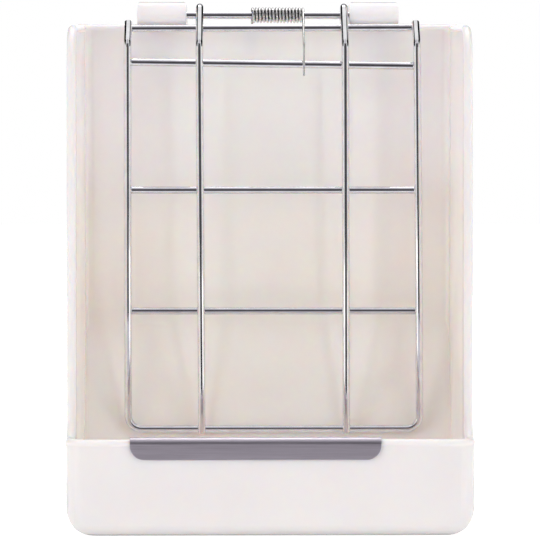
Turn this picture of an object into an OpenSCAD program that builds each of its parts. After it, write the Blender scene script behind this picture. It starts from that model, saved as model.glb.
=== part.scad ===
// Hanging hay feeder box: an open-fronted moulded box with a feeding tray at its foot,
// and a sprung wire grille that swings on an axle between two hanger lugs.
// Lengths are millimetres. X runs to the right, Y to the back, Z up.
// The modelling frame starts at the tray's front face. Each piece is shifted at the end,
// so that the origin is below the middle of the whole.

/* [Box] */
// Width over the side walls
body_w = 175; // [150:1:200]
// Depth from the tray's front face to the back wall's rear face
body_d = 106; // [90:1:130]
// Height of the back wall's rim
body_h = 222.4; // [190:0.2:260]
// Thickness of every moulded wall
wall = 3.4; // [2.6:0.1:4.2]
// How far the round rims stand proud of the wall on each side
rim_proud = 0.3; // [0.15:0.05:0.6]
// Radius of the two long bottom edges, seen from the front
base_corner_r = 13.2; // [8:0.1:18]
// Radius of the bottom edge at the front
base_front_r = 5.5; // [2:0.5:9]
// Radius of the bottom edge and the upright edges at the back
rear_edge_r = 2; // [1:0.5:3]
// Height where the back wall's foot starts to lean forward
ramp_h = 86.8; // [60:0.1:110]
// Lean of the back wall's foot, in degrees from upright
ramp_lean = 18; // [10:0.5:24]
// Radius inside the box where the upright wall meets the leaning foot
ramp_r = 40; // [10:1:60]
// Radius inside the box where the floor meets the leaning foot
floor_fillet_r = 8; // [4:1:14]
// Radius inside the box of the upright corners at the back
inner_corner_r = 4; // [2:0.5:8]

/* [Tray] */
// Height of the tray's lip
lip_h = 41.7; // [34:0.1:52]
// Radius of the tray's upright front corners
tray_corner_r = 7; // [5:0.5:12]
// Radius of the sweep from the lip up to the side wall
sweep_r = 9; // [7:0.5:14]
// How far back from the tray's face the side walls' front edges rise
side_setback = 17; // [16:0.5:30]

/* [Side walls] */
// Backward lean of the side walls' front edges, in degrees
front_lean = 2.5; // [0:0.25:5]
// Fall of the side walls' top edges towards the front, in degrees
top_fall = 2.6; // [0:0.1:5]
// Step from the back wall's rim down to the side walls' rims
top_step = 0.4; // [0.3:0.1:1]
// Outer radius of the side walls' top front corners
top_corner_r = 15; // [8:1:25]

/* [Hanger lugs] */
// Width of each lug
lug_w = 22.4; // [16:0.2:25]
// Height of the lugs above the axle's centre
lug_rise = 6.1; // [5:0.1:7]
// Width of the slot that takes the cage's wire
hook_slot = 7; // [5:0.5:10]
// Thickness of the hook behind the slot
hook_t = 4; // [3:0.5:6]
// Depth of the slot below its root
hook_drop = 19.7; // [12:0.1:30]
// Thickness of the bridge above the slot
hook_bridge = 5.5; // [4:0.5:7]
// Radius of the lugs' corners, seen from the front
lug_corner_r = 1.5; // [0.5:0.5:3]

/* [Axle] */
// Diameter of the axle rod
axle_d = 3.5; // [2.8:0.1:4]
// Radial clearance between the rod and the lugs' bores
bore_gap = 0.06; // [0.02:0.01:0.1]
// Distance from the back wall's inner face forward to the axle
axle_front = 7.1; // [6:0.1:12]
// Height of the axle above the back wall's rim
axle_rise = 3.7; // [3:0.1:8]
// How far each end of the rod stops short of the lug's outer face
axle_inset = 1; // [0.5:0.5:3]

/* [Grille] */
// Diameter of the grille's wires
wire_d = 3.5; // [2.8:0.1:3.8]
// How deep crossing wires are welded into each other
weld_sink = 0.3; // [0.1:0.05:0.5]
// Distance between the two inner wires
inner_pitch = 66; // [56:0.5:72]
// Distance between the outer wires at the bend
outer_pitch = 130.8; // [128:0.2:140]
// How far each outer wire spreads from the bend to the foot
outer_splay = 1.25; // [0:0.05:3]
// Gap between the left loop and its lug
gap_left = 4.3; // [0.5:0.05:6]
// Gap between the right loop and its lug
gap_right = 0.7; // [0.5:0.05:6]
// How far the wires' feet stand to the right of their tops
foot_drift = 0.9; // [0:0.1:2]
// Distance from the axle forward to the bend
bend_front = 18; // [14:0.5:24]
// Distance from the axle down to the bend
bend_below = 13.7; // [10:0.1:20]
// Radius of the bend, at the wire's centre
bend_r = 5; // [3:0.5:8]
// Height of the grille's bottom bar
foot_h = 36.9; // [30:0.1:45]
// Radius of the bottom corners, at the wire's centre
foot_corner_r = 6; // [4:0.5:12]
// Gap between the bottom bar and the back wall at rest
rest_gap = 0.3; // [0.3:0.1:1]
// Clearance between the loops and the axle
loop_gap = 0.15; // [0.1:0.05:0.3]
// Distance of the top crossbar from the axle, along the sloping wires
bar_1_reach = 8.85; // [8.6:0.05:10]
// Drop of the second crossbar below the bend
bar_2_drop = 9.05; // [7:0.05:14]
// Drop of the third crossbar below the bend
bar_3_drop = 66.2; // [50:0.1:80]
// Drop of the fourth crossbar below the bend
bar_4_drop = 121.3; // [100:0.1:140]
// Rise of the top crossbar to the right, in degrees
bar_1_tilt = 0.23; // [-1:0.01:1]
// Rise of the second crossbar to the right, in degrees
bar_2_tilt = -0.73; // [-1:0.01:1]
// How far the crossbars' ends stand out past the outer wires
bar_over = 0.2; // [0:0.1:2]
// How far the outer wires' open ends run past the top crossbar
open_end = 0.5; // [0:0.1:2]

/* [Spring] */
// Diameter of the spring's wire
spring_wire = 1.1; // [0.8:0.05:1.15]
// Mean radius of the spring's coil
coil_r = 3; // [2.8:0.05:3.2]
// Distance from one turn to the next
coil_pitch = 1.53; // [1.5:0.01:2.5]
// Full turns in the coil
coil_turns = 15; // [8:1:20]
// Left end of the coil
coil_start = -7.2; // [-20:0.1:2]
// How far the front leg runs down past the second crossbar
leg_past = 5.4; // [3:0.1:12]
// How far the rear leg runs down its groove in the back wall
rear_leg = 9; // [5:0.5:20]
// Radius of the rear leg's bend, at the wire's centre
leg_bend_r = 2; // [1.7:0.1:2.5]
// Gap between the legs and what they press on
leg_gap = 0.3; // [0.2:0.05:0.5]
// How deep the rear leg lies below the back wall's rear face
leg_sunk = 0.15; // [0.1:0.05:0.4]

/* [Bite guard] */
// Length of the metal strip
guard_w = 107; // [80:0.2:140]
// How far the strip's middle lies to the left of the box's middle
guard_left = 6.4; // [-10:0.1:10]
// Thickness of the sheet
guard_t = 0.8; // [0.5:0.1:1.2]
// Height of the strip's front and rear flanges
guard_h = 9.5; // [7:0.1:14]
// Radius of the strip's lower corners
guard_corner_r = 6.2; // [3:0.1:7]
// Gap between the strip and the lip's round edge
guard_gap = 0.1; // [0.05:0.05:0.3]

/* [Hidden] */
$fn = 48;

plastic = "#efeae6";
steel = "#8f8a93";
chrome = "#c9c9cc";
spring_steel = "#a9a9ad";

rim_r = wall / 2 + rim_proud;
inner_x = body_w / 2 - wall;
rim_x = body_w / 2 - wall / 2;
back_in = body_d - wall;
back_mid = body_d - wall / 2;
rim_z = body_h - rim_r;
lip_z = lip_h - rim_r;
hook_back = body_d + hook_slot + hook_t;
front_most = wall / 2 - rim_r - guard_gap - guard_t;
mid_y = (front_most + hook_back) / 2;
clear = 5;
over = 1;
seam = 0.02;

// Corners of the side walls' rim line, in the Y-Z plane
sweep_y = side_setback + rim_r;
front_dir = [sin(front_lean), cos(front_lean)];
top_dir = [cos(top_fall), sin(top_fall)];
back_top = [back_mid, rim_z];
side_end = back_top - [0, top_step];
front_foot = [sweep_y, lip_z + sweep_r];
step_corner = front_foot - front_dir * ((front_foot[1] - lip_z) / front_dir[1]);
top_corner = meet(front_foot, front_dir, side_end, top_dir);

// The axle, the bend and the foot, in the Y-Z plane
wire_r = wire_d / 2;
axle = [back_in - axle_front, body_h + axle_rise];
bend = axle - [bend_front, bend_below];
foot = [back_in - (ramp_h - foot_h) * tan(ramp_lean) - (rest_gap + wire_r) / cos(ramp_lean), foot_h];
loop_r = axle_d / 2 + loop_gap + wire_r;
weld = wire_d - weld_sink;
slope = atan2(bend_below, bend_front) + asin(loop_r / norm([bend_front, bend_below]));
slope_dir = [cos(slope), sin(slope)];
slope_out = [-sin(slope), cos(slope)];
lean = atan2(foot[0] - bend[0], bend[1] - foot[1]) - asin(weld / norm(foot - bend));
down_dir = [sin(lean), -cos(lean)];
down_back = [cos(lean), sin(lean)];
loop_start = axle + loop_r * slope_out;
bar_1 = axle + (loop_r - weld) * slope_out - bar_1_reach * slope_dir;
bar_2 = bar_at(bend[1] - bar_2_drop);
bar_3 = bar_at(bend[1] - bar_3_drop);
bar_4 = bar_at(bend[1] - bar_4_drop);
lug_in = (inner_pitch + wire_d + gap_left + gap_right) / 2;
grille_shift = (gap_left - gap_right) / 2;

// The spring's legs, in the Y-Z plane: normals are angles from +Y towards +Z. The rear leg
// bends round a saddle in the rim, so that it lies wholly below the rim and the rear face.
saddle = [
    body_d - leg_sunk - spring_wire / 2 - leg_bend_r,
    body_h - leg_sunk - spring_wire / 2 - leg_bend_r
];
saddle_r = leg_bend_r - spring_wire / 2 - leg_gap;
saddle_line = saddle - axle;
rear_angle = atan2(saddle_line[1], saddle_line[0]) + acos((coil_r - leg_bend_r) / norm(saddle_line));
saddle_corner = meet(
    saddle + [saddle_r, 0], [0, 1],
    saddle + saddle_r * turn(rear_angle), turn(rear_angle - 90)
);
front_angle = slope + 90;
coil_sweep = 360 * coil_turns + front_angle - rear_angle;
coil_end = coil_start + coil_pitch * coil_sweep / 360;
leg_y = bar_2[0] - wire_r - spring_wire / 2 - leg_gap;
knee = axle - slope_dir * ((axle[0] - leg_y - coil_r) / slope_dir[0]);
leg_end = bar_2[1] - leg_past;
coil_steps = round(coil_sweep / 45);
arc_steps = 4;
spring_sides = 6;
spring_path = concat(
    [[coil_start, saddle + [leg_bend_r, -rear_leg], 0]],
    [for (i = [0 : arc_steps]) let (a = rear_angle * i / arc_steps)
        [coil_start, saddle + leg_bend_r * turn(a), a]],
    [for (i = [0 : coil_steps]) let (a = rear_angle + coil_sweep * i / coil_steps)
        [coil_start + coil_pitch * (a - rear_angle) / 360, axle + coil_r * turn(a), a]],
    [for (i = [0 : arc_steps]) let (a = front_angle + (180 - front_angle) * i / arc_steps)
        [coil_end, knee + coil_r * turn(a), a]],
    [[coil_end, [leg_y, leg_end], 180]]
);
echo(least_gap_of_the_spring_to_itself = least_gap(spring_path, coil_steps / coil_sweep * 360));

// The outer wire: half its width at the bend, the start of its bow, and its open ends
outer_top = outer_pitch / 2;
outer_bow = bar_4 - weld * down_back;
outer_end = bar_1 + weld * slope_out + open_end * slope_dir;

function turn(a) = [cos(a), sin(a)];
function unit(v) = v / norm(v);
function meet(p, d, q, e) = p + d * cross(q - p, e) / cross(d, e);
function bar_at(z) = bend + down_dir * ((bend[1] + weld * down_back[1] - z) / cos(lean)) + weld * down_back;
function drift(z) = foot_drift * (bend[1] - z) / (bend[1] - foot[1]);
function splay(z) = outer_splay * (bend[1] - z) / (bend[1] - foot[1]);
function at_x(x, p) = [x, p[0], p[1]];
function spring_point(p) = [p[0], p[1][0], p[1][1]];
function least_gap(path, a_turn) = min([
    for (i = [0 : len(path) - 1], j = [0 : len(path) - 1])
        if (j > i + a_turn / 2) norm(spring_point(path[i]) - spring_point(path[j])) - spring_wire
]);

// A profile whose corners are [x, y, radius], anticlockwise
module soft_polygon(corners) {
    n = len(corners);
    points = [for (c = corners) [c[0], c[1]]];
    difference() {
        union() {
            polygon(points);
            for (i = [0 : n - 1]) if (bulge(points, i) < 0) corner_web(points, i, corners[i][2]);
        }
        for (i = [0 : n - 1]) if (bulge(points, i) > 0) corner_web(points, i, corners[i][2]);
    }
}

function before(points, i) = points[(i + len(points) - 1) % len(points)];
function after(points, i) = points[(i + 1) % len(points)];
function bulge(points, i) = cross(points[i] - before(points, i), after(points, i) - points[i]);

// What lies between a sharp corner and its round
module corner_web(points, i, r) {
    if (r > 0) {
        p = points[i];
        a = unit(before(points, i) - p);
        b = unit(after(points, i) - p);
        half = acos(a * b) / 2;
        centre = p + unit(a + b) * r / sin(half);
        difference() {
            polygon([p + (p - centre) / 5, p + a * r / tan(half), centre, p + b * r / tan(half)]);
            translate(centre) circle(r, $fn = 96);
        }
    }
}

// Profiles drawn in the Y-Z plane and in the X-Z plane
module across(x0, x1) {
    translate([x0, 0, 0]) rotate([90, 0, 90]) linear_extrude(x1 - x0) children();
}

module along(y0, y1) {
    translate([0, y1, 0]) rotate([90, 0, 0]) linear_extrude(y1 - y0) children();
}

// A round rod between two points
module rod(p, q, r) {
    v = q - p;
    translate(p) rotate([0, acos(v[2] / norm(v)), atan2(v[1], v[0])]) cylinder(r = r, h = norm(v));
}

// A round bend that starts at p in direction a and turns towards n
module elbow(p, a, n, r_bend, angle, r) {
    c = p + n * r_bend;
    k = cross(-n, a);
    multmatrix([
        [-n[0], a[0], k[0], c[0]],
        [-n[1], a[1], k[1], c[1]],
        [-n[2], a[2], k[2], c[2]],
        [0, 0, 0, 1]
    ]) rotate_extrude(angle = angle, $fn = 96) translate([r_bend, 0]) circle(r);
}

// A wire along points, with a bend radius at each inner point. Straights and bends stop
// a hair short of each other, and a thinner core carries the wire across.
module bent_wire(points, bends, r) {
    n = len(points);
    cuts = [for (i = [0 : n - 1]) i == 0 || i == n - 1 ? 0 : bends[i - 1] * tan(turn_at(points, i) / 2)];
    for (i = [0 : n - 2]) {
        d = unit(points[i + 1] - points[i]);
        p = points[i] + d * cuts[i];
        q = points[i + 1] - d * cuts[i + 1];
        rod(i == 0 ? p : p + d * seam, i == n - 2 ? q : q - d * seam, r);
        if (i > 0) core(p, d, r);
        if (i < n - 2) core(q, d, r);
    }
    for (i = [1 : n - 2]) {
        a = unit(points[i] - points[i - 1]);
        b = unit(points[i + 1] - points[i]);
        elbow(points[i] - a * cuts[i], a, unit(b - (a * b) * a), bends[i - 1], turn_at(points, i), r);
    }
}

module core(p, d, r) {
    rod(p - d * r / 2, p + d * r / 2, r / 2);
}

function turn_at(points, i) = acos(unit(points[i] - points[i - 1]) * unit(points[i + 1] - points[i]));

module placed() {
    translate([0, -mid_y, 0]) children();
}

// The box: a rounded block less its rounded inside, with round rims on every free edge
module box_block() {
    intersection() {
        across(-body_w / 2, body_w / 2) soft_polygon([
            [0, 0, base_front_r],
            [body_d, 0, rear_edge_r],
            [body_d, rim_z, 0],
            [back_mid, rim_z, 0],
            [side_end[0], side_end[1], 0],
            [top_corner[0], top_corner[1], top_corner_r],
            [step_corner[0], lip_z, sweep_r + rim_r / 2],
            [0, lip_z, 0]
        ]);
        along(-over, body_d + over) soft_polygon([
            [-body_w / 2, 0, base_corner_r],
            [body_w / 2, 0, base_corner_r],
            [body_w / 2, body_h, 0],
            [-body_w / 2, body_h, 0]
        ]);
        linear_extrude(body_h) soft_polygon([
            [-body_w / 2, 0, tray_corner_r],
            [body_w / 2, 0, tray_corner_r],
            [body_w / 2, body_d, rear_edge_r],
            [-body_w / 2, body_d, rear_edge_r]
        ]);
    }
}

module box_inside() {
    intersection() {
        across(-body_w / 2, body_w / 2) soft_polygon([
            [wall, wall, max(base_front_r - wall, 1)],
            [back_in - (ramp_h - wall) * tan(ramp_lean), wall, floor_fillet_r],
            [back_in, ramp_h, ramp_r],
            [back_in, body_h + over, 0],
            [wall, body_h + over, 0]
        ]);
        along(0, body_d) soft_polygon([
            [-inner_x, wall, base_corner_r - wall],
            [inner_x, wall, base_corner_r - wall],
            [inner_x, body_h + over, 0],
            [-inner_x, body_h + over, 0]
        ]);
        linear_extrude(body_h + over) soft_polygon([
            [-inner_x, wall, tray_corner_r - wall],
            [inner_x, wall, tray_corner_r - wall],
            [inner_x, back_in, inner_corner_r],
            [-inner_x, back_in, inner_corner_r]
        ]);
    }
}

// The room behind the leaning foot, open to the back
module rear_recess() {
    foot_back = back_in + wall / cos(ramp_lean) - (ramp_h - wall) * tan(ramp_lean);
    rise = (body_d + over - foot_back) / tan(ramp_lean);
    difference() {
        along(foot_back, body_d + over) soft_polygon([
            [-inner_x, wall, base_corner_r - wall],
            [inner_x, wall, base_corner_r - wall],
            [inner_x, wall + rise, 0],
            [-inner_x, wall + rise, 0]
        ]);
        across(-body_w, body_w) polygon([
            [foot_back, wall],
            [foot_back + tan(ramp_lean) * (rise + clear), wall + rise + clear],
            [foot_back - clear, wall + rise + clear],
            [foot_back - clear, wall]
        ]);
    }
}

module rims() {
    bend_at_lip = tray_corner_r - wall / 2;
    top_bend = top_corner_r - rim_r;
    lip_line = [
        [-rim_x, step_corner[0] - sweep_r, lip_z],
        [-rim_x, wall / 2, lip_z],
        [rim_x, wall / 2, lip_z],
        [rim_x, step_corner[0] - sweep_r, lip_z]
    ];
    bent_wire(lip_line, [bend_at_lip, bend_at_lip], rim_r);
    for (side = [-1, 1]) {
        bent_wire([
            [side * rim_x, step_corner[0] - sweep_r, lip_z],
            at_x(side * rim_x, [step_corner[0], lip_z]),
            at_x(side * rim_x, top_corner),
            at_x(side * rim_x, side_end + top_step * top_dir)
        ], [sweep_r, top_bend], rim_r);
    }
    half = rim_x + rim_r - top_step / 2;
    rod(at_x(-half, back_top), at_x(half, back_top), rim_r);
}

// A hanger lug: a nose round the axle, a bridge over the slot and a hook behind it
module lug(side) {
    x0 = side > 0 ? lug_in : -lug_in - lug_w;
    lug_top = axle[1] + lug_rise;
    slot_top = lug_top - hook_bridge;
    hook_tip = slot_top - hook_drop;
    difference() {
        intersection() {
            across(x0, x0 + lug_w) soft_polygon([
                [axle[0] - lug_rise, axle[1] - lug_rise, lug_rise - 0.1],
                [body_d, axle[1] - lug_rise, 0],
                [body_d, slot_top, hook_slot / 2 - 0.1],
                [body_d + hook_slot, slot_top, hook_slot / 2 - 0.1],
                [body_d + hook_slot, hook_tip, hook_t / 4],
                [hook_back, hook_tip, hook_t / 2],
                [hook_back, lug_top, hook_bridge],
                [axle[0] - lug_rise, lug_top, lug_rise - 0.1]
            ]);
            along(0, hook_back + over) soft_polygon([
                [x0, hook_tip - over, 0],
                [x0 + lug_w, hook_tip - over, 0],
                [x0 + lug_w, lug_top, lug_corner_r],
                [x0, lug_top, lug_corner_r]
            ]);
        }
        rod(at_x(x0 - over, axle), at_x(x0 + lug_w + over, axle), axle_d / 2 + bore_gap);
    }
}

// A notch through the rim and a groove down the rear face, for the spring's rear leg
module leg_groove() {
    half = spring_wire / 2 + leg_gap;
    end = saddle[1] - rear_leg - leg_gap;
    front = back_in - clear;
    rise = (saddle_corner[0] - front) / tan(rear_angle);
    across(coil_start - half, coil_start + half) difference() {
        translate([front + over, end]) square([body_d + clear - front, body_h + clear - end]);
        soft_polygon([
            [front, end - over, 0],
            [saddle_corner[0], end - over, 0],
            [saddle_corner[0], saddle_corner[1], saddle_r],
            [front, saddle_corner[1] + rise, 0]
        ]);
    }
}

module body_shell() {
    color(plastic) placed() difference() {
        union() {
            difference() {
                box_block();
                box_inside();
                rear_recess();
            }
            rims();
            lug(-1);
            lug(1);
        }
        leg_groove();
    }
}

// The bite guard: a strip of sheet folded over the lip
module guard_section(r) {
    translate([wall / 2, lip_z]) circle(r);
    translate([wall / 2 - r, lip_h + guard_gap + guard_t - guard_h]) square([2 * r, guard_h - rim_r - guard_gap - guard_t]);
}

module bite_guard() {
    r_in = rim_r + guard_gap;
    top = lip_z + r_in + guard_t;
    x0 = -guard_left - guard_w / 2;
    color(steel) placed() intersection() {
        across(x0, x0 + guard_w) difference() {
            guard_section(r_in + guard_t);
            guard_section(r_in);
            translate([wall / 2 - r_in, top - guard_h - over]) square([2 * r_in, guard_h - r_in]);
        }
        along(-clear, 2 * clear) soft_polygon([
            [x0, top - guard_h, guard_corner_r],
            [x0 + guard_w, top - guard_h, guard_corner_r],
            [x0 + guard_w, top + over, 0],
            [x0, top + over, 0]
        ]);
    }
}

module axle_rod() {
    half = lug_in + lug_w - axle_inset;
    color(chrome) placed() rod(at_x(-half, axle), at_x(half, axle), axle_d / 2);
}

// The torsion spring: a rear leg over the rim, the coil round the axle, and a front leg
// that presses on the two upper crossbars
module torsion_spring() {
    n = len(spring_path);
    rings = [for (p = spring_path, k = [0 : spring_sides - 1])
        let (a = 360 * k / spring_sides, out = spring_wire / 2 * cos(a) * turn(p[2]))
        [p[0] + spring_wire / 2 * sin(a), p[1][0] + out[0], p[1][1] + out[1]]];
    sides = [for (i = [0 : n - 2], k = [0 : spring_sides - 1])
        let (m = (k + 1) % spring_sides, a = i * spring_sides, b = a + spring_sides)
        each [[a + k, b + m, b + k], [a + k, a + m, b + m]]];
    last = (n - 1) * spring_sides;
    caps = [for (k = [1 : spring_sides - 2])
        each [[0, k + 1, k], [last, last + k, last + k + 1]]];
    color(spring_steel) placed() polyhedron(rings, concat(sides, caps));
}

// The outer wire: two legs with sloping open tops, joined by the bottom bar
module outer_frame_wire() {
    x_bow = outer_top + splay(outer_bow[1]);
    x_foot = outer_top + outer_splay;
    bow_shift = grille_shift + drift(outer_bow[1]);
    foot_shift = grille_shift + foot_drift;
    color(chrome) placed() bent_wire([
        at_x(grille_shift - outer_top, outer_end),
        at_x(grille_shift - outer_top, bend),
        at_x(bow_shift - x_bow, outer_bow),
        at_x(foot_shift - x_foot, foot),
        at_x(foot_shift + x_foot, foot),
        at_x(bow_shift + x_bow, outer_bow),
        at_x(grille_shift + outer_top, bend),
        at_x(grille_shift + outer_top, outer_end)
    ], [bend_r, 4 * bend_r, foot_corner_r, foot_corner_r, 4 * bend_r, bend_r], wire_r);
}

// An inner wire: straight, then bent to the axle and closed round it in a loop
module inner_wire(side) {
    x = grille_shift + side * inner_pitch / 2;
    foot_end = foot - weld * down_back + wire_r * down_dir;
    a = [0, slope_dir[0], slope_dir[1]];
    outward = [0, slope_out[0], slope_out[1]];
    loop_end = axle - loop_r * slope_dir;
    stub = loop_r - wire_r - loop_gap;
    color(chrome) placed() {
        bent_wire([
            at_x(x + foot_drift, foot_end),
            at_x(x, bend),
            at_x(x, loop_start - seam * slope_dir)
        ], [bend_r], wire_r);
        core(at_x(x, loop_start), a, wire_r);
        elbow(at_x(x, loop_start), a, -outward, loop_r, 270, wire_r);
        core(at_x(x, loop_end), outward, wire_r);
        rod(at_x(x, loop_end + seam * slope_out), at_x(x, loop_end + stub * slope_out), wire_r);
    }
}

module inner_wire_left() {
    inner_wire(-1);
}

module inner_wire_right() {
    inner_wire(1);
}

// A crossbar behind the upright wires, from one outer wire to the other
module crossbar(at, tilt) {
    z = min(at[1], bend[1]);
    half = outer_top + splay(z) + wire_r + bar_over;
    mid = grille_shift + drift(z);
    color(chrome) placed() translate(at_x(mid, at)) rotate([0, -tilt, 0])
        rod([-half, 0, 0], [half, 0, 0], wire_r);
}

module crossbar_1() {
    crossbar(bar_1, bar_1_tilt);
}

module crossbar_2() {
    crossbar(bar_2, bar_2_tilt);
}

module crossbar_3() {
    crossbar(bar_3, 0);
}

module crossbar_4() {
    crossbar(bar_4, 0);
}

body_shell();
bite_guard();
axle_rod();
torsion_spring();
outer_frame_wire();
inner_wire_left();
inner_wire_right();
crossbar_1();
crossbar_2();
crossbar_3();
crossbar_4();
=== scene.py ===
import math

import bmesh
import bpy
from mathutils import Matrix, Vector
from mathutils.bvhtree import BVHTree


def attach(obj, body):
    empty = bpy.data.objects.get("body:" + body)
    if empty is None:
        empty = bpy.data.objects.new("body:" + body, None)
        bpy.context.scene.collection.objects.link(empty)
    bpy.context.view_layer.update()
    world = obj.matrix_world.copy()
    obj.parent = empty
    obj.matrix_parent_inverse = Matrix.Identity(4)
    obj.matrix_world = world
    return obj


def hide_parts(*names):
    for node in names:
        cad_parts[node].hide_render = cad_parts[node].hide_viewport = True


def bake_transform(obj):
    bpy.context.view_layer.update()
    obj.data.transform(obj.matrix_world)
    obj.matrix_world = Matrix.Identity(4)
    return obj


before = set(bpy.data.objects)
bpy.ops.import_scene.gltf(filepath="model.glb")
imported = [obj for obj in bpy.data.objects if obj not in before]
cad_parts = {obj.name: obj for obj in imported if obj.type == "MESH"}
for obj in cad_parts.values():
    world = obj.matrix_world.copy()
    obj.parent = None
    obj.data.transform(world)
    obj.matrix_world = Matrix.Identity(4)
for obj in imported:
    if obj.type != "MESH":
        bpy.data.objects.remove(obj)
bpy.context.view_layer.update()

scene = bpy.context.scene
middle = 57.9            # the frame's middle lies this far behind the tray's face, in mm
wireCrease = 38          # a wire's edges sharper than this, in degrees, stay sharp
samePoint = 1e-7         # points closer than this, in metres, are one
mixFirst, mixSecond = 6, 7    # the colour sockets of a Mix node


# Small helpers. Sizes are in mm, and d is the depth behind the tray's face.

def place(x, d, z):
    return Vector((x, d - middle, z)) / 1000


def onRay(centre, radius, angle):
    turn = math.radians(angle)
    return (centre[0] + radius * math.cos(turn), centre[1] + radius * math.sin(turn))


def arc(centre, radius, start, end, step):
    count = max(2, round(abs(end - start) / step))
    return [onRay(centre, radius, start + (end - start) * i / count) for i in range(count + 1)]


def bentPath(corners, radii, step):
    # a line through the corners, each rounded by its radius; these are in metres and the step is in degrees
    path = [corners[0]]
    for before, corner, after, radius in zip(corners, corners[1:], corners[2:], radii):
        here = (corner - before).normalized()
        there = (after - corner).normalized()
        turn = here.angle(there)
        reach = radius * math.tan(turn / 2)
        inward = (there - here * here.dot(there)).normalized()
        centre = corner - here * reach + inward * radius
        count = max(3, round(math.degrees(turn) / step))
        for i in range(count + 1):
            turned = turn * i / count
            path.append(centre - inward * radius * math.cos(turned) + here * radius * math.sin(turned))
    path.append(corners[-1])
    return path


def linked(name, data):
    piece = bpy.data.objects.new(name, data)
    scene.collection.objects.link(piece)
    return piece


def fromBmesh(name, bm, smooth=True):
    mesh = bpy.data.meshes.new(name)
    for face in bm.faces:
        face.smooth = smooth
    bm.to_mesh(mesh)
    bm.free()
    return linked(name, mesh)


def drawnWire(name, path, thickness, chamfer, sides=10):
    # a round wire along a path, with a small chamfer at both ends
    curve = bpy.data.curves.new(name + "Line", "CURVE")
    curve.dimensions = "3D"
    curve.bevel_depth = thickness / 2000
    curve.bevel_resolution = sides
    curve.use_fill_caps = True
    curve.twist_mode = "MINIMUM"
    first = (path[1] - path[0]).normalized() * chamfer / 1000
    last = (path[-2] - path[-1]).normalized() * chamfer / 1000
    shrink = 1 - 2 * chamfer / thickness
    points = [(path[0], shrink), (path[0] + first, 1.0)]
    points += [(at, 1.0) for at in path[1:-1]]
    points += [(path[-1] + last, 1.0), (path[-1], shrink)]
    line = curve.splines.new("POLY")
    line.points.add(len(points) - 1)
    for spot, (at, radius) in zip(line.points, points):
        spot.co = (at.x, at.y, at.z, 1)
        spot.radius = radius
    holder = linked(name + "Line", curve)
    bpy.context.view_layer.update()
    mesh = bpy.data.meshes.new_from_object(holder.evaluated_get(bpy.context.evaluated_depsgraph_get()))
    bpy.data.objects.remove(holder)
    bm = bmesh.new()
    bm.from_mesh(mesh)
    bmesh.ops.remove_doubles(bm, verts=bm.verts, dist=samePoint)
    bmesh.ops.recalc_face_normals(bm, faces=bm.faces)
    for edge in bm.edges:
        edge.smooth = len(edge.link_faces) < 2 or edge.calc_face_angle(0) < math.radians(wireCrease)
    bpy.data.meshes.remove(mesh)
    return fromBmesh(name, bm)


def addModifier(piece, kind, **settings):
    modifier = piece.modifiers.new(kind.title(), kind)
    for key, value in settings.items():
        setattr(modifier, key, value)


def dress(piece, material, body, node):
    piece.data.materials.clear()
    piece.data.materials.append(material)
    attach(piece, body)
    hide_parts(node)


# Materials

def newMaterial(name):
    material = bpy.data.materials.new(name)
    material.use_nodes = True
    tree = material.node_tree
    return material, tree, tree.nodes["Principled BSDF"]


def addNode(tree, kind, **settings):
    node = tree.nodes.new(kind)
    for key, value in settings.items():
        if hasattr(node, key):
            setattr(node, key, value)
        else:
            node.inputs[key].default_value = value
    return node


def linearPart(part):
    return part / 12.92 if part <= 0.04045 else ((part + 0.055) / 1.055) ** 2.4


def linear(r, g, b):
    # a screen tone from 0 to 255 as the shader's own linear colour
    return tuple(linearPart(part / 255) for part in (r, g, b)) + (1,)


def mapRange(tree, source, start=(0, 1), end=(0, 1), interpolation="LINEAR"):
    node = addNode(tree, "ShaderNodeMapRange", interpolation_type=interpolation)
    node.inputs["From Min"].default_value, node.inputs["From Max"].default_value = start
    node.inputs["To Min"].default_value, node.inputs["To Max"].default_value = end
    tree.links.new(source, node.inputs["Value"])
    return node.outputs["Result"]


def toneRamp(tree, source, dark, light, span):
    ramp = addNode(tree, "ShaderNodeValToRGB")
    for element, position, tone in zip(ramp.color_ramp.elements, span, (dark, light)):
        element.position = position
        element.color = linear(*tone)
    tree.links.new(source, ramp.inputs["Fac"])
    return ramp.outputs["Color"]


plasticLook = {
    # the inside's tones are painted light, standing in for light let through the walls and bounced round
    # the inside
    "face": (229, 228, 229),      # the tray's face, the front edges and the outside
    "high": (254, 247, 249),      # inside, at the top: painted light, lighter than the face
    "low": (255, 246, 243),       # inside, at the foot: painted light, lighter than the face and warmer
    "depth": (-0.034, -0.022),    # where the face's tone gives way to the inside's, in metres
    "height": (0.11, 0.2),        # where the low tone gives way to the high one
    # the outside and the lugs take the face's tone past these distances from the frame's planes
    "skins": {
        "sideways": (0.0862, 0.0868),
        "back": (0.0464, 0.0472),
        "up": (0.2195, 0.2355),
        "behind": (0.0178, 0.0192),   # behind the leaning foot, measured at the floor
    },
    "lean": 0.325,                # the leaning foot's run back for each metre up
    "mottle": 0.97,               # the darkest share of the tone
    "clouds": 22,                 # slow changes of tone, per metre
    "cloudSpan": (0.35, 0.65),
    "roughness": (0.12, 0.18),
    "glow": 0.8,                  # the walls let some light through
    "glowReach": (1.0, 0.72, 0.5),
    "glowScale": 0.005,
    "ripple": 420,                # orange peel of the mould, per metre
    "rippleHeight": 0.00002,
    "rippleStrength": 0.25,
    "bending": 1.49,              # the plastic's index of refraction
}


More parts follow.
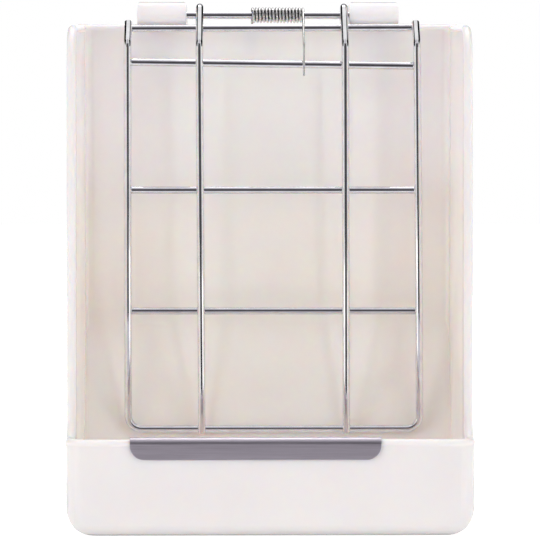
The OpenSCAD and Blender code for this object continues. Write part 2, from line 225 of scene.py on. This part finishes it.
def glossyPlastic(look):
    material, tree, shader = newMaterial("ivoryPlastic")
    coords = addNode(tree, "ShaderNodeTexCoord")
    split = addNode(tree, "ShaderNodeSeparateXYZ")
    tree.links.new(coords.outputs["Object"], split.inputs[0])
    # painted light: the inside takes lighter tones than the face, warmer towards the foot
    inside = addNode(tree, "ShaderNodeMix", data_type="RGBA")
    inside.inputs[mixFirst].default_value = linear(*look["low"])
    inside.inputs[mixSecond].default_value = linear(*look["high"])
    tone = addNode(tree, "ShaderNodeMix", data_type="RGBA")
    tone.inputs[mixFirst].default_value = linear(*look["face"])
    within = addNode(tree, "ShaderNodeMath", operation="SUBTRACT", use_clamp=True)
    for axis, span, target in (("Z", look["height"], inside), ("Y", look["depth"], within)):
        share = mapRange(tree, split.outputs[axis], span, interpolation="SMOOTHSTEP")
        tree.links.new(share, target.inputs[0])
    sideways = addNode(tree, "ShaderNodeMath", operation="ABSOLUTE")
    behind = addNode(tree, "ShaderNodeMath", operation="MULTIPLY_ADD")
    behind.inputs[1].default_value = -look["lean"]
    tree.links.new(split.outputs["X"], sideways.inputs[0])
    tree.links.new(split.outputs["Z"], behind.inputs[0])
    tree.links.new(split.outputs["Y"], behind.inputs[2])
    distances = {
        "sideways": sideways.outputs[0],
        "back": split.outputs["Y"],
        "up": split.outputs["Z"],
        "behind": behind.outputs[0],
    }
    outside = None
    for way, span in look["skins"].items():
        skin = mapRange(tree, distances[way], span)
        if outside is not None:
            either = addNode(tree, "ShaderNodeMath", operation="MAXIMUM")
            tree.links.new(outside, either.inputs[0])
            tree.links.new(skin, either.inputs[1])
            skin = either.outputs[0]
        outside = skin
    tree.links.new(outside, within.inputs[1])
    tree.links.new(within.outputs[0], tone.inputs[0])
    tree.links.new(inside.outputs[2], tone.inputs[mixSecond])
    clouds = addNode(tree, "ShaderNodeTexNoise", Scale=look["clouds"], Detail=3, Roughness=0.55)
    mottle = mapRange(tree, clouds.outputs["Fac"], look["cloudSpan"], (look["mottle"], 1))
    gloss = mapRange(tree, clouds.outputs["Fac"], end=look["roughness"])
    blotched = addNode(tree, "ShaderNodeVectorMath", operation="SCALE")
    ripple = addNode(tree, "ShaderNodeTexNoise", Scale=look["ripple"], Detail=2, Roughness=0.5)
    bump = addNode(tree, "ShaderNodeBump", Strength=look["rippleStrength"], Distance=look["rippleHeight"])
    tree.links.new(coords.outputs["Object"], clouds.inputs["Vector"])
    tree.links.new(coords.outputs["Object"], ripple.inputs["Vector"])
    tree.links.new(tone.outputs[2], blotched.inputs[0])
    tree.links.new(mottle, blotched.inputs["Scale"])
    tree.links.new(blotched.outputs[0], shader.inputs["Base Color"])
    tree.links.new(gloss, shader.inputs["Roughness"])
    tree.links.new(ripple.outputs["Fac"], bump.inputs["Height"])
    tree.links.new(bump.outputs["Normal"], shader.inputs["Normal"])
    shader.inputs["IOR"].default_value = look["bending"]
    shader.inputs["Subsurface Weight"].default_value = look["glow"]
    shader.inputs["Subsurface Radius"].default_value = look["glowReach"]
    shader.inputs["Subsurface Scale"].default_value = look["glowScale"]
    return material


platingLook = {
    "colour": (238, 238, 240),
    "roughness": (0.03, 0.06),
    "streak": 160,                # changes of tone and gloss, per metre
}
springPlatingLook = {
    "colour": (243, 241, 240),
    "roughness": (0.2, 0.28),
    "streak": 400,
}
wearLook = {"tone": 0.93, "span": (0.3, 0.7)}


def platedSteel(name, look, shaded=False):
    # shaded plating is darkened by painted shade, held in a point attribute
    material, tree, shader = newMaterial(name)
    coords = addNode(tree, "ShaderNodeTexCoord")
    wear = addNode(tree, "ShaderNodeTexNoise", Scale=look["streak"], Detail=4, Roughness=0.6)
    tree.links.new(coords.outputs["Object"], wear.inputs["Vector"])
    worn = [part * wearLook["tone"] for part in look["colour"]]
    tone = toneRamp(tree, wear.outputs["Fac"], worn, look["colour"], wearLook["span"])
    gloss = mapRange(tree, wear.outputs["Fac"], end=look["roughness"])
    tree.links.new(gloss, shader.inputs["Roughness"])
    shader.inputs["Metallic"].default_value = 1.0
    if not shaded:
        tree.links.new(tone, shader.inputs["Base Color"])
        return material
    # the painted shade from the point attribute darkens the tone
    paintedShade = addNode(tree, "ShaderNodeAttribute", attribute_name="unshaded")
    darken = addNode(tree, "ShaderNodeVectorMath", operation="SCALE")
    tree.links.new(tone, darken.inputs[0])
    tree.links.new(paintedShade.outputs["Fac"], darken.inputs["Scale"])
    tree.links.new(darken.outputs[0], shader.inputs["Base Color"])
    return material


def paintShade(piece, rule):
    # painted shade on the metal, from 0 (darkest) to 1 (no shade), for materials that are shaded
    layer = piece.data.attributes.new("unshaded", "FLOAT", "POINT")
    layer.data.foreach_set("value", [rule(vert) for vert in piece.data.vertices])


def smooth(low, high, value):
    t = max(0.0, min(1.0, (value - low) / (high - low)))
    return t * t * (3 - 2 * t)


sheetLook = {
    "stretch": (40, 2600, 2600),  # the brushed lines run along X
    "dark": (182, 176, 185),
    "light": (202, 196, 205),
    "span": (0.3, 0.72),
    "roughness": (0.34, 0.5),
    "grooveStrength": 0.2,
    "grooveDepth": 0.00002,
}


def brushedSheet(look):
    material, tree, shader = newMaterial("brushedSheet")
    coords = addNode(tree, "ShaderNodeTexCoord")
    stretch = addNode(tree, "ShaderNodeMapping")
    stretch.inputs["Scale"].default_value = look["stretch"]
    lines = addNode(tree, "ShaderNodeTexNoise", Scale=1.0, Detail=4, Roughness=0.65)
    tone = toneRamp(tree, lines.outputs["Fac"], look["dark"], look["light"], look["span"])
    gloss = mapRange(tree, lines.outputs["Fac"], end=look["roughness"])
    bump = addNode(tree, "ShaderNodeBump", Strength=look["grooveStrength"], Distance=look["grooveDepth"])
    tree.links.new(coords.outputs["Object"], stretch.inputs["Vector"])
    tree.links.new(stretch.outputs["Vector"], lines.inputs["Vector"])
    tree.links.new(lines.outputs["Fac"], bump.inputs["Height"])
    tree.links.new(tone, shader.inputs["Base Color"])
    tree.links.new(gloss, shader.inputs["Roughness"])
    tree.links.new(bump.outputs["Normal"], shader.inputs["Normal"])
    shader.inputs["Metallic"].default_value = 1.0
    return material


ivory = glossyPlastic(plasticLook)
chrome = platedSteel("brightPlating", platingLook)
shadedAxleChrome = platedSteel("axlePlating", platingLook, shaded=True)
springSteel = platedSteel("springPlating", springPlatingLook, shaded=True)
sheetSteel = brushedSheet(sheetLook)
print("materials ready")


# The box: the moulding's own surface, joined up and smoothed

shellLook = {
    "seam": 0.03,             # the slits are narrower than this
    "join": 0.001,
    "facing": -0.9,           # two faces look at each other when their normals' product is below this
    "crease": 34,
}


def closeSeams(bm, look):
    # the source joins the rims round thin cores; the hairline slits round those are closed here
    join, width = look["join"] / 1000, look["seam"] / 1000
    bmesh.ops.remove_doubles(bm, verts=bm.verts, dist=join)
    tree = BVHTree.FromBMesh(bm)
    inside = []
    for face in bm.faces:
        start = face.calc_center_median() + face.normal * samePoint
        over, normal, _, _ = tree.ray_cast(start, face.normal, width)
        if over is not None and normal.dot(face.normal) < look["facing"]:
            inside.append(face)
    bmesh.ops.delete(bm, geom=inside, context="FACES")
    bmesh.ops.remove_doubles(bm, verts=bm.verts, dist=width)
    bmesh.ops.dissolve_degenerate(bm, edges=bm.edges, dist=join)
    bmesh.ops.delete(bm, geom=[edge for edge in bm.edges if not edge.link_faces], context="EDGES")
    bmesh.ops.delete(bm, geom=[vert for vert in bm.verts if not vert.link_faces], context="VERTS")
    bmesh.ops.recalc_face_normals(bm, faces=bm.faces)


def mouldedShell(look):
    bm = bmesh.new()
    bm.from_mesh(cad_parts["body_shell"].data)
    closeSeams(bm, look)
    for edge in bm.edges:
        edge.smooth = len(edge.link_faces) != 2 or edge.calc_face_angle(0) < math.radians(look["crease"])
    shell = fromBmesh("mouldedShell", bm)
    addModifier(shell, "WEIGHTED_NORMAL", mode="FACE_AREA_WITH_ANGLE", keep_sharp=True, weight=100)
    return shell


dress(mouldedShell(shellLook), ivory, "feeder_box", "body_shell")
print("shell done")


# The grille: where its wires run, in mm, as pairs of depth and height

bendStep = 5             # degrees from one ring of a bend to the next

grille = {
    "wire": 3.5,
    "sink": 0.3,              # how deep crossing wires are welded together
    "axle": (95.5, 226.1),
    "bend": (77.5, 212.4),    # where the wires turn from the slope down to the hay
    "foot": (84.231, 36.9),
    "bendRadius": 5.0,
    "bowRadius": 20.0,        # the slight turn where the outer wire spreads, by the lowest crossbar
    "footRadius": 6.0,
    "loopRadius": 3.65,
    "loopSweep": 270,
    "loopStep": 7.5,
    "stub": 1.75,             # the straight end past the loop
    "innerPitch": 66.0,
    "outerPitch": 130.8,
    "splay": 1.25,            # how far each side of the outer wire stands out at the foot
    "shift": 1.8,             # the grille hangs this far to the right, and its foot further by the drift
    "drift": 0.9,
    "barReach": 8.85,         # the first crossbar, down the slope from the axle
    "barDrops": (9.05, 66.2, 121.3),    # the others, down from the bend
    "barTilts": (0.23, -0.73, 0.0, 0.0),
    "barOver": 0.2,           # how far a crossbar's ends stand past the outer wire
    "barRings": 8,
    "openEnd": 0.5,           # how far the outer wire's ends stand past the first crossbar's middle
    "chamfer": 0.22,
}
axle, bend, foot = (Vector(grille[key]) for key in ("axle", "bend", "foot"))
weld = grille["wire"] - grille["sink"]
drop = axle - bend
slope = math.atan2(drop.y, drop.x) + math.asin(grille["loopRadius"] / drop.length)
slopeDir = Vector((math.cos(slope), math.sin(slope)))
slopeOut = Vector((-math.sin(slope), math.cos(slope)))
run = foot - bend
lean = math.atan2(run.x, -run.y) - math.asin(weld / run.length)
downDir = Vector((math.sin(lean), -math.cos(lean)))
downBack = Vector((math.cos(lean), math.sin(lean)))


def barAt(z):
    return bend + downDir * ((bend.y + weld * downBack.y - z) / math.cos(lean)) + weld * downBack


def shareDown(z):
    return (bend.y - z) / (bend.y - foot.y)


loopStart = axle + grille["loopRadius"] * slopeOut
bars = [axle + (grille["loopRadius"] - weld) * slopeOut - grille["barReach"] * slopeDir]
bars += [barAt(bend.y - down) for down in grille["barDrops"]]


def innerWire(name, side):
    x = grille["shift"] + side * grille["innerPitch"] / 2
    footEnd = foot - weld * downBack + grille["wire"] / 2 * downDir
    corners = [place(x + grille["drift"], *footEnd), place(x, *bend), place(x, *loopStart)]
    path = bentPath(corners, [grille["bendRadius"] / 1000], bendStep)
    turn = math.degrees(slope) + 90
    loop = arc(axle, grille["loopRadius"], turn, turn - grille["loopSweep"], grille["loopStep"])
    path += [place(x, *spot) for spot in loop[1:]]
    stub = axle - grille["loopRadius"] * slopeDir + grille["stub"] * slopeOut
    path.append(place(x, *stub))
    return drawnWire(name, path, grille["wire"], grille["chamfer"])


def outerWire():
    half = grille["outerPitch"] / 2
    bow = bars[3] - weld * downBack
    end = bars[0] + weld * slopeOut + grille["openEnd"] * slopeDir
    corners = []
    for side in (-1, 1):
        down = shareDown(bow.y)
        top = grille["shift"] + side * half
        leg = [
            place(top, *end),
            place(top, *bend),
            place(grille["shift"] + grille["drift"] * down + side * (half + grille["splay"] * down), *bow),
            place(grille["shift"] + grille["drift"] + side * (half + grille["splay"]), *foot),
        ]
        corners += leg if side < 0 else leg[::-1]
    sharp, soft, wide = (grille[key] / 1000 for key in ("bendRadius", "bowRadius", "footRadius"))
    path = bentPath(corners, [sharp, soft, wide, wide, soft, sharp], bendStep)
    return drawnWire("outerWire", path, grille["wire"], grille["chamfer"])


def crossbar(number):
    at = bars[number]
    z = min(at.y, bend.y)
    down = shareDown(z)
    half = grille["outerPitch"] / 2 + grille["splay"] * down + grille["wire"] / 2 + grille["barOver"]
    centre = grille["shift"] + grille["drift"] * down
    tilt = math.radians(grille["barTilts"][number])
    sideways, up = half * math.cos(tilt), half * math.sin(tilt)
    ends = [place(centre + side * sideways, at.x, at.y + side * up) for side in (-1, 1)]
    rings = grille["barRings"]
    path = [ends[0].lerp(ends[1], i / rings) for i in range(rings + 1)]
    return drawnWire(f"crossbar{number + 1}", path, grille["wire"], grille["chamfer"])


dress(innerWire("innerWireLeft", -1), chrome, "grille", "inner_wire_left")
dress(innerWire("innerWireRight", 1), chrome, "grille", "inner_wire_right")
dress(outerWire(), chrome, "grille", "outer_frame_wire")
for number in range(len(bars)):
    dress(crossbar(number), chrome, "grille", f"crossbar_{number + 1}")
print("grille done")


# The axle and the spring

axleLook = {
    "halfLength": 58.65,
    "thickness": 3.5,
    "chamfer": 0.35,
    "rings": 120,
    "coilShade": 0.9,             # painted shade: how much darker the axle is inside the coil
    "coilShadeFade": 1.0,
}


def axleRod(look):
    half = look["rings"] / 2
    path = [place(look["halfLength"] * (i / half - 1), *axle) for i in range(look["rings"] + 1)]
    rod = drawnWire("axleRod", path, look["thickness"], look["chamfer"])
    reach = springLook["pitch"] * springLook["turns"] / 2000
    coil = springLook["start"] / 1000 + reach
    fade = look["coilShadeFade"] / 1000

    # painted shade on the axle inside the coil, fading out at the coil's ends
    def unshaded(vert):
        return 1 - look["coilShade"] * (1 - smooth(reach - fade, reach + fade, abs(vert.co.x - coil)))

    paintShade(rod, unshaded)
    return rod


springLook = {
    "wire": 1.1,
    "sides": 5,
    "step": 12,                   # degrees from one ring of the coil to the next
    "legStep": 8,
    "chamfer": 0.1,
    "radius": 3.0,
    "pitch": 1.53,
    "turns": 15,
    "start": -7.2,
    "saddle": (103.3, 219.7),     # the rear leg's bend, sunk in the notch of the back rim
    "saddleBend": 2.0,
    "gap": 0.3,                   # between the front leg and the second crossbar
    "rearLeg": 9.0,
    "legPast": 5.4,               # how far the front leg reaches below that crossbar
    "turnShade": (0.08, -0.1, 0.75),   # painted shade between the turns and on the coil's inner side: its darkest tone, and where it starts and ends
}


def torsionSpring(look):
    saddle = Vector(look["saddle"])
    over = look["saddleBend"]
    away = saddle - axle
    rearAngle = math.degrees(math.atan2(away.y, away.x) + math.acos((look["radius"] - over) / away.length))
    frontAngle = math.degrees(slope) + 90
    sweep = 360 * look["turns"] + frontAngle - rearAngle
    endX = look["start"] + look["pitch"] * sweep / 360
    legD = bars[1].x - grille["wire"] / 2 - look["wire"] / 2 - look["gap"]
    knee = axle - slopeDir * ((axle.x - legD - look["radius"]) / slopeDir.x)
    path = [place(look["start"], saddle.x + over, saddle.y - look["rearLeg"])]
    path += [place(look["start"], *spot) for spot in arc(saddle, over, 0, rearAngle, look["legStep"])]
    count = round(sweep / look["step"])
    for i in range(count + 1):
        turned = sweep * i / count
        x = look["start"] + look["pitch"] * turned / 360
        path.append(place(x, *onRay(axle, look["radius"], rearAngle + turned)))
    path += [place(endX, *spot) for spot in arc(knee, look["radius"], frontAngle, 180, look["legStep"])]
    path.append(place(endX, legD, bars[1].y - look["legPast"]))
    spring = drawnWire("torsionSpring", path, look["wire"], look["chamfer"], look["sides"])
    dark, low, high = look["turnShade"]
    centre = place(0, *axle)
    legs = (look["radius"] + look["wire"]) / 1000

    # painted shade, darkest where the wire faces the next turn or the axle; the legs stay unshaded
    def unshaded(vert):
        out = Vector((0, vert.co.y - centre.y, vert.co.z - centre.z))
        if out.length > legs:
            return 1.0
        return dark + (1 - dark) * smooth(low, high, vert.normal.dot(out.normalized()))

    paintShade(spring, unshaded)
    spring.data.materials.clear()
    spring.data.materials.append(springSteel)
    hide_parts("torsion_spring")
    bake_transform(spring)


dress(axleRod(axleLook), shadedAxleChrome, "feeder_box", "axle_rod")
torsionSpring(springLook)
print("axle and spring done")


# The bite guard: a flat blank with round corners, folded over the lip

guardLook = {
    "length": 107.0,
    "left": 6.4,                  # its middle stands this far to the left
    "thickness": 0.8,
    "height": 9.5,
    "corner": 6.2,
    "lip": (1.7, 39.7),           # depth and height of the fold's centre line
    "inside": 2.1,                # the fold's inner radius
    "foldCuts": 8,                # cuts through the fold, on each side of its ridge
    "endCuts": 12,                # cuts towards each end
    "cutEvery": 4,
    "cornerSteps": 10,
    "edge": 0.12,
    "crease": 50,
}


def cutFlat(bm, at, normal):
    bmesh.ops.bisect_plane(bm, geom=bm.verts[:] + bm.edges[:] + bm.faces[:], plane_co=at, plane_no=normal)


def biteGuard(look):
    fold = look["inside"] + look["thickness"] / 2
    flange = look["height"] - look["inside"] - look["thickness"]
    half = flange + math.pi * fold / 2
    bm = bmesh.new()
    bmesh.ops.create_grid(bm, x_segments=1, y_segments=1, size=1.0)
    bmesh.ops.scale(bm, vec=(look["length"] / 2, half, 1), verts=bm.verts)
    bmesh.ops.bevel(
        bm,
        geom=list(bm.verts),
        offset=look["corner"],
        offset_type="OFFSET",
        segments=look["cornerSteps"],
        profile=0.5,
        affect="VERTICES",
        material=-1,
    )
    across, along = look["foldCuts"], look["endCuts"]
    for i in range(-across, across + 1):
        cutFlat(bm, (0, (math.pi * fold / 2) * i / across, 0), (0, 1, 0))
    for i in range(-along, along + 1):
        cutFlat(bm, (look["cutEvery"] * i, 0, 0), (1, 0, 0))
    quarter = math.pi / 2
    for vert in bm.verts:       # the blank's own y runs from the front flange's edge to the rear flange's
        over = vert.co.y / fold
        turned = max(-quarter, min(quarter, over))
        down = abs(vert.co.y) - abs(turned) * fold
        d = look["lip"][0] + fold * math.sin(turned)
        z = look["lip"][1] + fold * math.cos(turned) - (down if abs(over) > quarter else 0)
        vert.co = place(vert.co.x - look["left"], d, z)
    bmesh.ops.recalc_face_normals(bm, faces=bm.faces)
    guard = fromBmesh("biteGuard", bm)
    addModifier(guard, "SOLIDIFY", thickness=look["thickness"] / 1000, offset=0.0, use_even_offset=True)
    edge, crease = look["edge"] / 1000, math.radians(look["crease"])
    addModifier(guard, "BEVEL", width=edge, segments=2, limit_method="ANGLE", angle_limit=crease)
    addModifier(guard, "WEIGHTED_NORMAL", mode="FACE_AREA", weight=100)
    return guard


dress(biteGuard(guardLook), sheetSteel, "feeder_box", "bite_guard")
print("guard done")


# The studio: floor, bands of wall that only reflections see, lamps, room and camera

studio = {
    "ambient": 0.3,           # light from the white room on everything
    "lampColour": (1.0, 0.98, 0.99),
    "aim": 0.13,              # the height that every lamp points at
    "floor": (0.92, 0.91, 0.9),
    "floorSize": 8.0,
    "floorDrop": 0.0002,
    "floorLift": 0.76,        # keeps the floor white for the camera, shadow and all
    "floorGloss": 0.6,        # how bright reflections see the floor
    "tableHeight": 0.002,
    "bandHeight": 0.15,
    "bandSteps": (8, 32),     # up and round
}
shades = {
    "black": (0.002, 0.002, 0.003),
    "dusk": (0.08, 0.076, 0.082),
    "grey": (0.36, 0.36, 0.38),
    "pale": (0.62, 0.6, 0.66),
}

# Bands of wall: name, distance in metres, elevations and azimuths in degrees from the front, shade
skyBands = (
    ("frontBand", 2.2, (-6, 40), (-31, 31), "dusk"),
    ("frontHigh", 2.2, (40, 76), (-36, 36), "pale"),
    ("frontLeft", 2.2, (-6, 40), (-43, -31), "grey"),
    ("frontRight", 2.2, (-6, 40), (31, 43), "grey"),
    ("backLeft", 2.4, (13, 54), (208, 300), "black"),
    ("backRight", 2.4, (13, 54), (60, 152), "black"),
    ("backMiddle", 2.4, (13, 60), (152, 208), "grey"),
)

# Stretches of table: name, nearest and farthest distance in front, half their spread in degrees, shade
tableBands = (
    ("darkTable", 0.36, 2.3, 31, "dusk"),
    ("paleTable", 0.12, 0.36, 36, "pale"),
)

# Lamps: name, azimuth and elevation in degrees, distance, width and height in metres, power in watts
lamps = (
    ("front", 0, 6, 3.0, (1.4, 1.4), 1.6),
    ("panelLeft", -35, 8, 0.34, (0.055, 0.34), 0.12),
    ("panelRight", 30, 8, 0.45, (0.055, 0.34), 0.21),
    ("quarterLeft", -45, 8, 1.5, (0.6, 0.9), 1.9),
    ("wideLeft", -62, 8, 1.5, (0.7, 0.9), 6.2),
    ("quarterRight", 45, 8, 1.5, (0.6, 0.9), 1.9),
    ("wideRight", 62, 8, 1.5, (0.7, 0.9), 6.2),
    ("behind", 180, 12, 1.6, (1.0, 1.0), 8.0),
    ("above", 0, 88, 1.4, (1.1, 0.9), 7.8),
    ("glint", 180, 72, 1.4, (0.9, 0.4), 5.0),
)
mirrored = {"glint"}      # no other lamp is seen in reflections


def glow(name, colour):
    material, tree, shader = newMaterial(name)
    tree.nodes.remove(shader)
    light = addNode(tree, "ShaderNodeEmission", Strength=1.0)
    light.inputs["Color"].default_value = (*colour, 1)
    tree.links.new(light.outputs[0], tree.nodes["Material Output"].inputs["Surface"])
    return material


def paleFloor(look):
    material, tree, shader = newMaterial("paleFloor")
    tree.nodes.remove(shader)
    rays = addNode(tree, "ShaderNodeLightPath")
    forCamera = addNode(tree, "ShaderNodeMath", operation="MULTIPLY")
    forGloss = addNode(tree, "ShaderNodeMath", operation="MULTIPLY_ADD")
    forCamera.inputs[1].default_value = look["floorLift"]
    forGloss.inputs[1].default_value = look["floorGloss"]
    matte = addNode(tree, "ShaderNodeBsdfDiffuse")
    matte.inputs["Color"].default_value = (*look["floor"], 1)
    lift = addNode(tree, "ShaderNodeEmission")
    both = addNode(tree, "ShaderNodeAddShader")
    tree.links.new(rays.outputs["Is Camera Ray"], forCamera.inputs[0])
    tree.links.new(rays.outputs["Is Glossy Ray"], forGloss.inputs[0])
    tree.links.new(forCamera.outputs[0], forGloss.inputs[2])
    tree.links.new(forGloss.outputs[0], lift.inputs["Strength"])
    tree.links.new(matte.outputs[0], both.inputs[0])
    tree.links.new(lift.outputs[0], both.inputs[1])
    tree.links.new(both.outputs[0], tree.nodes["Material Output"].inputs["Surface"])
    return material


def floorPiece(look):
    bm = bmesh.new()
    bmesh.ops.create_grid(bm, x_segments=1, y_segments=1, size=look["floorSize"] / 2)
    floor = fromBmesh("floor", bm, smooth=False)
    floor.location.z = -look["floorDrop"]
    floor.data.materials.append(paleFloor(look))


def reflectorOnly(card):
    card.visible_camera = False
    card.visible_diffuse = False
    card.visible_shadow = False
    card.visible_transmission = False


def skyBand(name, radius, rise, azimuths, material):
    # a strip of the room's wall, from one elevation to another, seen only in reflections
    low, high = (math.radians(angle) for angle in rise)
    start, end = (math.radians(angle) for angle in azimuths)
    up, about = studio["bandSteps"]
    bm = bmesh.new()
    profile = []
    for i in range(up + 1):
        angle = low + (high - low) * i / up
        profile.append(bm.verts.new((0, -radius * math.cos(angle), radius * math.sin(angle))))
    edges = [bm.edges.new(pair) for pair in zip(profile, profile[1:])]
    bmesh.ops.rotate(bm, verts=profile, cent=(0, 0, 0), matrix=Matrix.Rotation(start, 3, "Z"))
    bmesh.ops.spin(bm, geom=profile + edges, cent=(0, 0, 0), axis=(0, 0, 1), angle=end - start, steps=about)
    band = fromBmesh(name, bm)
    band.location.z = studio["bandHeight"]
    band.data.materials.append(material)
    reflectorOnly(band)


def tableBand(name, near, far, spread, material):
    # a stretch of the table in front of the object, seen only in reflections
    bm = bmesh.new()
    bmesh.ops.create_grid(bm, x_segments=1, y_segments=1, size=1.0)
    for vert in bm.verts:
        reach = near if vert.co.y > 0 else far
        half = reach * math.tan(math.radians(spread))
        vert.co = Vector((math.copysign(half, vert.co.x), -reach, studio["tableHeight"]))
    table = fromBmesh(name, bm, smooth=False)
    table.data.materials.append(material)
    reflectorOnly(table)


def softBox(name, azimuth, elevation, distance, size, power):
    lamp = bpy.data.lights.new(name, "AREA")
    lamp.shape = "RECTANGLE"
    lamp.size, lamp.size_y = size
    lamp.energy = power
    lamp.color = studio["lampColour"]
    across, up = math.radians(azimuth), math.radians(elevation)
    aim = Vector((0, 0, studio["aim"]))
    away = Vector((math.sin(across) * math.cos(up), -math.cos(across) * math.cos(up), math.sin(up)))
    box = linked(name, lamp)
    box.visible_glossy = name in mirrored
    box.location = aim + distance * away
    box.rotation_euler = (aim - box.location).to_track_quat("-Z", "Y").to_euler()


def whiteRoom(look):
    # white to the camera and to reflections, and a weaker light on everything else
    world = bpy.data.worlds.new("whiteRoom")
    scene.world = world
    world.use_nodes = True
    sky = world.node_tree
    sky.nodes.clear()
    rays = addNode(sky, "ShaderNodeLightPath")
    seen = addNode(sky, "ShaderNodeMath", operation="MAXIMUM")
    room = addNode(sky, "ShaderNodeBackground", Strength=look["ambient"])
    white = addNode(sky, "ShaderNodeBackground", Strength=1.0)
    room.inputs["Color"].default_value = (1, 1, 1, 1)
    white.inputs["Color"].default_value = (1, 1, 1, 1)
    pick = addNode(sky, "ShaderNodeMixShader")
    out = addNode(sky, "ShaderNodeOutputWorld")
    sky.links.new(rays.outputs["Is Camera Ray"], seen.inputs[0])
    sky.links.new(rays.outputs["Is Glossy Ray"], seen.inputs[1])
    sky.links.new(seen.outputs[0], pick.inputs["Fac"])
    sky.links.new(room.outputs[0], pick.inputs[1])
    sky.links.new(white.outputs[0], pick.inputs[2])
    sky.links.new(pick.outputs[0], out.inputs["Surface"])


cameraLook = {
    "lens": 172.3,
    "sensor": 36,
    "nearest": 0.01,
    "farthest": 50,
    "x": -15.0,
    "distance": 1094.0,       # from the tray's face, in mm
    "z": 168.6,
    "pitch": 2.86,            # degrees downwards
    "yaw": -0.77,
}


def studioCamera(look):
    lens = bpy.data.cameras.new("studioCamera")
    lens.lens = look["lens"]
    lens.sensor_width = look["sensor"]
    lens.clip_start = look["nearest"]
    lens.clip_end = look["farthest"]
    camera = linked("studioCamera", lens)
    camera.location = place(look["x"], -look["distance"], look["z"])
    camera.rotation_euler = (math.radians(90 - look["pitch"]), 0, math.radians(look["yaw"]))
    scene.camera = camera


floorPiece(studio)
walls = {shade: glow(shade + "Wall", colour) for shade, colour in shades.items()}
for name, radius, rise, azimuths, shade in skyBands:
    skyBand(name, radius, rise, azimuths, walls[shade])
for name, near, far, spread, shade in tableBands:
    tableBand(name, near, far, spread, walls[shade])
for lamp in lamps:
    softBox(*lamp)
whiteRoom(studio)
studioCamera(cameraLook)
scene.view_settings.view_transform = "Standard"
print("studio done")
